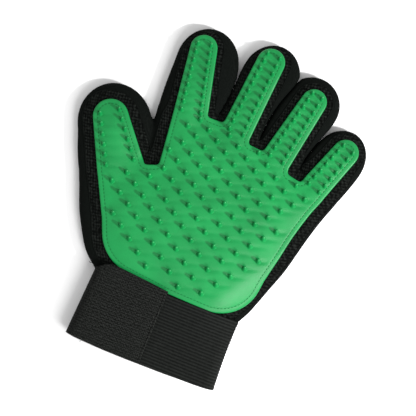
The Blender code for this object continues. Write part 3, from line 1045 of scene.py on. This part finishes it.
def make_wristband():
    points, pattern = [], []
    rows = band_rows()
    for share, inset in rows:
        spread = 1.0 - share
        section = band_section(BAND_LEFT - BAND_LEFT_SPREAD * spread,
                               BAND_RIGHT + BAND_RIGHT_SPREAD * spread
                               - BAND_WAIST * math.sin(math.pi * share), inset)
        x, z = section.T
        middle = 1.0 - (x / BAND_HALF_WIDTH) ** 2
        bow = -MOUTH_BOW * np.clip(middle, 0.0, 1.0) * spread ** 2
        y = share * (BAND_LENGTH - 0.3) + bow + 0.3 * wander(x, x * 0 + share, 19.0, 4.4)
        dents = BAND_DENTS * wander(x, y, 21.0, 7.3) * np.clip(middle * 3, 0.0, 1.0)
        dents = dents - corner_drop(x, BAND_LENGTH) * ease((y - 8.0) / 45.0)
        z = z + dents * np.clip(z / BAND_HEIGHT * 2 - 1.0, 0.0, 1.0)
        points.append(np.column_stack([x, y, z]))
        girth = np.arange(len(x)) * BAND_STEP
        pattern.append(np.column_stack([girth, y, np.full_like(x, inset)]))
    count = len(points[0])
    faces = [f[::-1] for f in grid_faces(len(rows), count, wrap=True, wrap_rows=True)]
    piece = add_piece("cuff_elastic", np.vstack(points), faces, MATERIALS["elastic"],
                      pattern=np.vstack(pattern))
    attach(piece, "hand", ["wristband"])


# ---------------- closure tab

TAB_THICKNESS = 1.4
TAB_PATH = [(-53.8, 4.6), (-54.6, 9.0), (-54.1, 13.4), (-52.2, 17.2), (-48.8, 19.2),
            (-43.0, 19.7), (-28.0, 19.9), (-12.0, 19.8), (-3.6, 19.5), (0.9, 19.0)]
TAB_LEAN = 3.0            # the fold lies this much further left at the mouth
TAB_FOLD_END = -46.0
TAB_FOLD_LENGTH = 8.0
TAB_END_LEAN = 0.9        # and so does the free edge, along the tab's last stretch
TAB_END_LENGTH = 12.0
TAB_ROWS = 96
TAB_BEND_START = (-53.4, 25.0, 18.3)   # ends of a bend line for the peeled tab; make_tab converts them but bends nothing
TAB_BEND_END = (-44.0, 25.0, 18.3)
TAB_TOP_EDGE = [(-60.0, 50.2), (-53.6, 51.0), (-48.0, 54.6), (-43.0, 56.4),
                (-38.0, 56.6), (-18.0, 54.9), (1.6, 52.9)]
TAB_BOTTOM_EDGE = [(-60.0, 0.6), (-54.0, 0.0), (-30.0, -0.9), (1.6, -1.4)]
TAB_SEAM = -47.2          # stitched line where the tab joins the band
TAB_HEM = 2.0             # a stitched line this far in from the tab's edge
HEM_DEPTH, HEM_WIDTH = 0.6, 0.35
SEAM_DEPTH, SEAM_WIDTH = 0.3, 0.5
TAB_EDGE_DEPTH, TAB_EDGE_WIDTH = 0.55, 0.9   # rounding of the tab's edge


def edge_at(x, edge):
    return np.interp(x, [p[0] for p in edge], [p[1] for p in edge])


def sideways(path, distance):
    """A path in (x, z) moved to its right."""
    along = np.gradient(path, axis=0)
    along /= np.hypot(*along.T)[:, None]
    return path + distance * np.column_stack([along[:, 1], -along[:, 0]])


def tab_face(path, depth, rows):
    """Grid of points on a face of the tab, depth under its upper face."""
    line = sideways(path, depth)
    points = []
    for share in rows:
        x, z = line.T
        low, high = edge_at(path[:, 0], TAB_BOTTOM_EDGE), edge_at(path[:, 0], TAB_TOP_EDGE)
        y = low + (high - low) * share
        folded = np.clip((TAB_FOLD_END - path[:, 0]) / TAB_FOLD_LENGTH, 0.0, 1.0)
        lean = TAB_LEAN * (0.5 - share) * folded
        free = np.clip((path[:, 0] + TAB_END_LENGTH) / TAB_END_LENGTH, 0.0, 1.0)
        right_edge = -TAB_END_LEAN * (1.0 - share) * free
        droop = 0.25 * wander(x, y, 17.0, 2.2)
        points.append(np.column_stack([x - lean + right_edge, y, z + droop]))
    return points


def make_tab():
    path = np.array(smooth_path(TAB_PATH, 12))
    rows = np.linspace(0.0, 1.0, TAB_ROWS)
    upper = tab_face(path, 0.0, rows)
    lower = tab_face(path, TAB_THICKNESS, rows)
    for i, share in enumerate(rows):
        edge = min(share, 1.0 - share) * TAB_WIDTH
        free = np.abs(path[:, 0] - path[-1, 0])
        close = np.minimum(edge, free)
        rounding = TAB_EDGE_DEPTH * (1.0 - np.clip(close / TAB_EDGE_WIDTH, 0.0, 1.0)) ** 2
        hem = HEM_DEPTH * np.exp(-((close - TAB_HEM) / HEM_WIDTH) ** 2)
        seam = SEAM_DEPTH * np.exp(-((path[:, 0] - TAB_SEAM) / SEAM_WIDTH) ** 2)
        upper[i][:, 2] -= rounding + hem + seam
        lower[i][:, 2] += rounding
    points = np.vstack(upper + lower)
    index = np.arange(len(rows) * len(path)).reshape(len(rows), len(path))
    start = index.size        # the lower face's points follow the upper's
    faces = [f[::-1] for f in grid_faces(*index.shape)]
    faces += [tuple(i + start for i in f[::-1]) for f in faces[:]]
    rim = np.r_[index[0], index[1:, -1], index[-1, -2::-1], index[-2:0:-1, 0]].tolist()
    for a, b in zip(rim, rim[1:] + rim[:1]):
        faces.append((a, b, b + start, a + start))
    girth = np.r_[0.0, np.cumsum(np.hypot(*np.diff(path, axis=0).T))]
    pattern = np.column_stack([np.tile(girth, 2 * len(rows)), points[:, 1],
                               np.repeat([0.0, TAB_THICKNESS], start)])
    piece = add_piece("tab_cloth", points, faces, MATERIALS["loop_pile"], pattern=pattern)
    to_frame(TAB_BEND_START)
    to_frame(TAB_BEND_END)
    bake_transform(piece)
    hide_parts("closure_tab")


PATCH_INSET = 0.4         # the pile stays this far inside the CAD's patch
PILE_GRID = 90
PILE_HEIGHT = 1.15
PILE_EDGE = 0.7           # it falls off over this distance
PILE_ROOT = 0.3           # and starts this far inside the band
HOOK_AREA = (-45.0, 5.0, -5.0, 45.0)
HOOK_PITCH = 1.9
HOOK_RADIUS = 0.11
HOOK_TAPE_TOP = 18.15
HOOK_TAPE_THICKNESS = 0.35
HOOK = [(0.0, -0.3), (0.0, -0.75), (0.12, -1.02), (0.38, -1.06), (0.5, -0.86)]
BOX_FACES = [(0, 1, 2, 3), (7, 6, 5, 4), (0, 4, 5, 1), (1, 5, 6, 2), (2, 6, 7, 3),
             (3, 7, 4, 0)]


def make_patches():
    """Loop pile sewn to the band, and the hooks under the tab that hold on to it."""
    low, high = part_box("loop_patch")
    (x0, x1), (y0, y1) = (
        (start / MM + centre + PATCH_INSET, end / MM + centre - PATCH_INSET)
        for start, end, centre in zip(low, high, GLOVE_CENTRE))
    x, y = np.meshgrid(np.linspace(x0, x1, PILE_GRID), np.linspace(y0, y1, PILE_GRID))
    edge = np.minimum(np.minimum(x - x0, x1 - x), np.minimum(y - y0, y1 - y))
    pile = PILE_HEIGHT + 0.3 * wander(x, y, 0.9, 1.1) + 0.2 * wander(x, y, 2.6, 5.1)
    z = BAND_HEIGHT - PILE_ROOT + pile * np.clip(edge / PILE_EDGE, 0.12, 1.0)
    top = np.column_stack([x.ravel(), y.ravel(), z.ravel()])
    piece = add_piece("cuff_loop_pile", top, grid_faces(PILE_GRID, PILE_GRID),
                      MATERIALS["loop_pile"])
    attach(piece, "hand", ["loop_patch"])

    x0, y0, x1, y1 = HOOK_AREA
    plate = np.array([(x, y, z)
                      for z in (HOOK_TAPE_TOP, HOOK_TAPE_TOP - HOOK_TAPE_THICKNESS)
                      for x, y in ((x0, y0), (x1, y0), (x1, y1), (x0, y1))])
    parts = [(plate, BOX_FACES)]
    for i, y in enumerate(np.arange(y0 + 1.0, y1, HOOK_PITCH)):
        for x in np.arange(x0 + 1.0 + HOOK_PITCH / 2 * (i % 2), x1 - 0.5, HOOK_PITCH):
            hook = [(x + side, y, HOOK_TAPE_TOP + down) for side, down in HOOK]
            parts.append(tube(hook, HOOK_RADIUS, 4))
    piece = add_piece("tab_hooks", *joined(parts), MATERIALS["hook_tape"])
    attach(piece, "strap", ["hook_patch"])


def make_threads():
    """Loose ends of sewing thread at the band's corners."""
    routes = [[(-55.0, 51.0, 9.0), (-56.6, 52.0, 10.5), (-57.8, 51.6, 11.5),
               (-59.0, 52.4, 11.0)],
              [(-43.0, 0.4, 17.4), (-43.6, -1.4, 17.8), (-44.8, -2.2, 17.0)]]
    made = joined([tube(smooth_path(route), 0.14) for route in routes])
    piece = add_piece("loose_threads", *made, MATERIALS["stretch_knit"])
    attach(piece, "hand")


# ---------------- materials

class Recipe:
    """A procedural material in the making, patterned by the "rest" attribute."""

    def __init__(self, name, roughness, specular):
        self.material = bpy.data.materials.new(name)
        self.material.use_nodes = True
        self.tree = self.material.node_tree
        self.shader = self.tree.nodes["Principled BSDF"]
        self.shader.inputs["Roughness"].default_value = roughness
        self.shader.inputs["Specular IOR Level"].default_value = specular
        self.place = self.node("ShaderNodeAttribute", attribute_name="rest")["Vector"]

    def node(self, kind, sources=(), **settings):
        """Outputs of a new node; its sources pair an input with a socket or a value."""
        made = self.tree.nodes.new(kind)
        for name, value in settings.items():
            setattr(made, name, value)
        for name, source in sources:
            if isinstance(source, bpy.types.NodeSocket):
                self.tree.links.new(source, made.inputs[name])
            else:
                made.inputs[name].default_value = source
        return made.outputs

    def feed(self, name, socket):
        self.tree.links.new(socket, self.shader.inputs[name])

    def mapped(self, scale, turn=0.0):
        return self.node("ShaderNodeMapping",
                         [("Vector", self.place), ("Scale", scale),
                          ("Rotation", (0.0, 0.0, turn))])["Vector"]

    def turned(self, turn):
        return self.mapped((1.0, 1.0, 1.0), turn)

    def axes(self, place):
        return self.node("ShaderNodeSeparateXYZ", [("Vector", place)])

    def speckle(self, scale, detail=2.0, roughness=0.5, place=None):
        return self.node("ShaderNodeTexNoise",
                         [("Vector", place or self.place), ("Scale", scale),
                          ("Detail", detail), ("Roughness", roughness)])["Fac"]

    def maths(self, operation, a, b=0.0):
        return self.node("ShaderNodeMath", [(0, a), (1, b)], operation=operation)["Value"]

    def add(self, a, b):
        return self.maths("ADD", a, b)

    def times(self, a, b):
        return self.maths("MULTIPLY", a, b)

    def remap(self, value, low, high, to_low=0.0, to_high=1.0):
        return self.node("ShaderNodeMapRange",
                         [("Value", value), ("From Min", low), ("From Max", high),
                          ("To Min", to_low), ("To Max", to_high)])["Result"]

    def weave(self, place, pitch_x, pitch_y, wobble):
        """Staggered cells, from -1 in their gaps to 1 on their threads."""
        drift = self.speckle(0.35, 1.0, place=place)
        axes = self.axes(place)
        waves = []
        for axis, pitch in (("X", pitch_x), ("Y", pitch_y)):
            angle = self.times(self.add(axes[axis], axes["Z"]), 2 * math.pi / pitch)
            angle = self.add(angle, self.times(drift, wobble * 12.0))
            waves.append(self.maths("SINE", angle))
        return self.times(*waves)

    def painted(self, share, dark, light, height=None, depth=0.0):
        """The material, between two colours, with a relief of depth millimetres."""
        mix = self.node("ShaderNodeMix",
                        [("Factor", share), (6, (*dark, 1.0)), (7, (*light, 1.0))],
                        data_type="RGBA")
        self.feed("Base Color", mix[2])
        if height is not None:
            bump = self.node("ShaderNodeBump",
                             [("Height", height), ("Distance", depth * MM)])
            self.feed("Normal", bump["Normal"])
        return self.material


def rubber_material():
    rubber = Recipe("green_rubber", 0.38, 0.26)
    patches = rubber.speckle(0.045, 3.0)
    grain = rubber.speckle(1.6, 2.0, 0.6)
    share = rubber.add(rubber.times(patches, 0.7), rubber.times(grain, 0.3))
    rubber.feed("Roughness", rubber.remap(grain, 0.2, 0.8, 0.31, 0.43))
    return rubber.painted(rubber.remap(share, 0.3, 0.7), (0.002, 0.155, 0.035),
                          (0.005, 0.227, 0.053), grain, 0.1)


def thread_material():
    thread = Recipe("green_thread", 0.6, 0.1)
    twist = thread.speckle(1.4, 1.0, place=thread.mapped((1.0, 3.0, 3.0), 0.6))
    return thread.painted(twist, (0.003, 0.09, 0.022), (0.006, 0.14, 0.035), twist, 0.08)


def spacer_material():
    spacer = Recipe("black_spacer_mesh", 0.85, 0.04)
    cells = spacer.weave(spacer.turned(0.5), 3.4, 2.8, 0.25)
    height = spacer.add(spacer.times(cells, 0.15), spacer.speckle(0.5, 3.0, 0.7))
    return spacer.painted(spacer.remap(height, 0.43, 0.77), (0.0008, 0.0012, 0.0009),
                          (0.0115, 0.0134, 0.0118), height, 1.1)


def knit_material():
    knit = Recipe("black_stretch_knit", 0.85, 0.03)
    loops = knit.weave(knit.turned(0.2), 0.9, 1.2, 0.1)
    height = knit.add(knit.times(loops, 0.35), knit.speckle(0.9, 3.0, 0.6))
    return knit.painted(knit.remap(height, 0.1, 0.9), (0.0012, 0.0018, 0.0014),
                        (0.0044, 0.0055, 0.0047), height, 0.12)


def elastic_material():
    elastic = Recipe("black_elastic", 0.75, 0.05)
    picks = elastic.weave(elastic.place, 1.3, 1.1, 0.05)
    along = elastic.axes(elastic.place)["Y"]
    # painted shade: the colour darkens along the grooves between the band's ribs, which
    # the geometry already cuts
    rib_groove_shade = elastic.maths("COSINE", elastic.times(along, 2 * math.pi / RIB_PITCH))
    fluff = elastic.speckle(1.0, 3.0, 0.7, elastic.mapped((0.35, 1.0, 1.0)))
    height = elastic.add(elastic.times(picks, 0.3), fluff)
    # brightness from the picks and fluff, less the painted shade in the rib grooves
    light = elastic.maths("SUBTRACT", height, elastic.times(rib_groove_shade, 0.3))
    return elastic.painted(elastic.remap(light, 0.2, 1.0), (0.0022, 0.0027, 0.0023),
                           (0.0135, 0.015, 0.0136), height, 0.3)


def pile_material():
    """Rows of small loops in chevrons, fuzzed by wear."""
    pile = Recipe("black_loop_pile", 0.85, 0.05)
    axes = pile.axes(pile.place)
    zigzag = pile.maths("PINGPONG", axes["X"], 1.1)
    row = pile.add(axes["Y"], pile.times(zigzag, 0.8))
    drift = pile.times(pile.speckle(0.5), 3.0)
    loops = pile.maths("SINE", pile.times(pile.add(row, drift), 2 * math.pi / 2.0))
    height = pile.add(pile.speckle(1.15, 3.0, 0.8), pile.times(loops, 0.1))
    return pile.painted(pile.remap(height, 0.4, 0.68), (0.0014, 0.0018, 0.0014),
                        (0.0195, 0.021, 0.0193), height, 0.7)


def hook_material():
    tape = Recipe("black_hook_tape", 0.7, 0.15)
    fleck = tape.speckle(2.0)
    return tape.painted(fleck, (0.012, 0.012, 0.012), (0.022, 0.022, 0.022), fleck, 0.08)


MATERIALS = {
    "rubber": rubber_material(),
    "thread": thread_material(),
    "spacer_mesh": spacer_material(),
    "stretch_knit": knit_material(),
    "elastic": elastic_material(),
    "loop_pile": pile_material(),
    "hook_tape": hook_material(),
}


# ---------------- stage

VIEW_CENTRE = (5.2, 117.6)
VIEW_WIDTH = 291.2
VIEW_HEIGHT = 16.0        # height of the surface that the view width is measured at
CAMERA_DISTANCE = 1200.0
CAMERA_ROLL = 21.5
FLOOR_REACH = 1500.0
FLOOR_LEVEL = -0.2        # just under the lowest cloth


def make_camera():
    data = bpy.data.cameras.new("camera")
    data.sensor_width = 36.0
    data.lens = data.sensor_width * CAMERA_DISTANCE / VIEW_WIDTH
    data.clip_start, data.clip_end = 0.05, 10.0
    camera = add_object("camera", data)
    camera.location = to_frame((*VIEW_CENTRE, VIEW_HEIGHT + CAMERA_DISTANCE))
    camera.rotation_euler = (0.0, 0.0, math.radians(CAMERA_ROLL))
    bpy.context.scene.camera = camera


def make_floor():
    pale = Recipe("pale_floor", 0.9, 0.2)
    material = pale.painted(pale.speckle(0.02), (0.86, 0.86, 0.86), (0.9, 0.9, 0.9))
    corners = [(x * FLOOR_REACH, y * FLOOR_REACH, FLOOR_LEVEL)
               for x, y in ((-1, -1), (1, -1), (1, 1), (-1, 1))]
    floor = add_piece("floor", corners, [(0, 1, 2, 3)], material)


FILL = 0.8                # strength of the white surroundings


def make_light(name, azimuth, elevation, distance, size, power):
    """A round soft lamp that faces the glove; azimuth runs from +X towards +Y."""
    data = bpy.data.lights.new(name, "AREA")
    data.shape = "DISK"
    data.size = size * MM
    data.energy = power
    lamp = add_object(name, data)
    azimuth, elevation = math.radians(azimuth), math.radians(elevation)
    way = Vector((math.cos(azimuth) * math.cos(elevation),
                  math.sin(azimuth) * math.cos(elevation), math.sin(elevation)))
    lamp.location = way * distance * MM
    lamp.rotation_mode = "QUATERNION"
    lamp.rotation_quaternion = way.to_track_quat("Z", "Y")


def make_lights():
    make_light("key", azimuth=-1.0, elevation=39.0, distance=1100.0, size=140.0,
               power=15.4)
    make_light("softbox", azimuth=-38.0, elevation=51.0, distance=800.0, size=360.0,
               power=4.0)
    world = bpy.data.worlds.new("studio")
    world.use_nodes = True
    background = world.node_tree.nodes["Background"]
    background.inputs["Color"].default_value = (1.0, 1.0, 1.0, 1.0)
    background.inputs["Strength"].default_value = FILL
    bpy.context.scene.world = world
    bpy.context.scene.view_settings.view_transform = "Standard"


make_camera()
make_floor()
make_lights()
make_cloth()
make_pad()
make_wristband()
make_tab()
make_patches()
make_threads()
